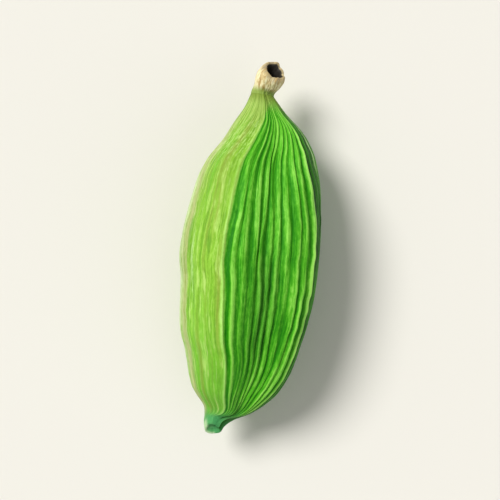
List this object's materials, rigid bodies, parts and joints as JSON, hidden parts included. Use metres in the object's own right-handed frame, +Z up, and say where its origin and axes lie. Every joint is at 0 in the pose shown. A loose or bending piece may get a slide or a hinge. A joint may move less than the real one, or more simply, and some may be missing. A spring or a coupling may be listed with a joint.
{
  "type": "green cardamom pod",
  "caption": "Dried, closed, three-sided spice pod with lengthwise ribs, a small curled nub at one end and a dry hollow tip at the other.",
  "frame": {"origin": "on the surface that the pod lies on, under the middle of its outline seen from above", "axes": "+Z up, +Y along the pod from its nub towards its neck and dry tip, +X to the right seen from above with +Y away"},
  "size_m": [0.0072, 0.0196, 0.0064],
  "materials": {
    "green_husk": "dry, fibrous plant skin with a slight sheen; light green crests, deep green furrows",
    "dry_tip": "matte, papery, pale tan, dark inside the hollow"
  },
  "bodies": {
    "root": {"husk": "green_husk", "dry_tip": "dry_tip"}
  },
  "joints": []
}
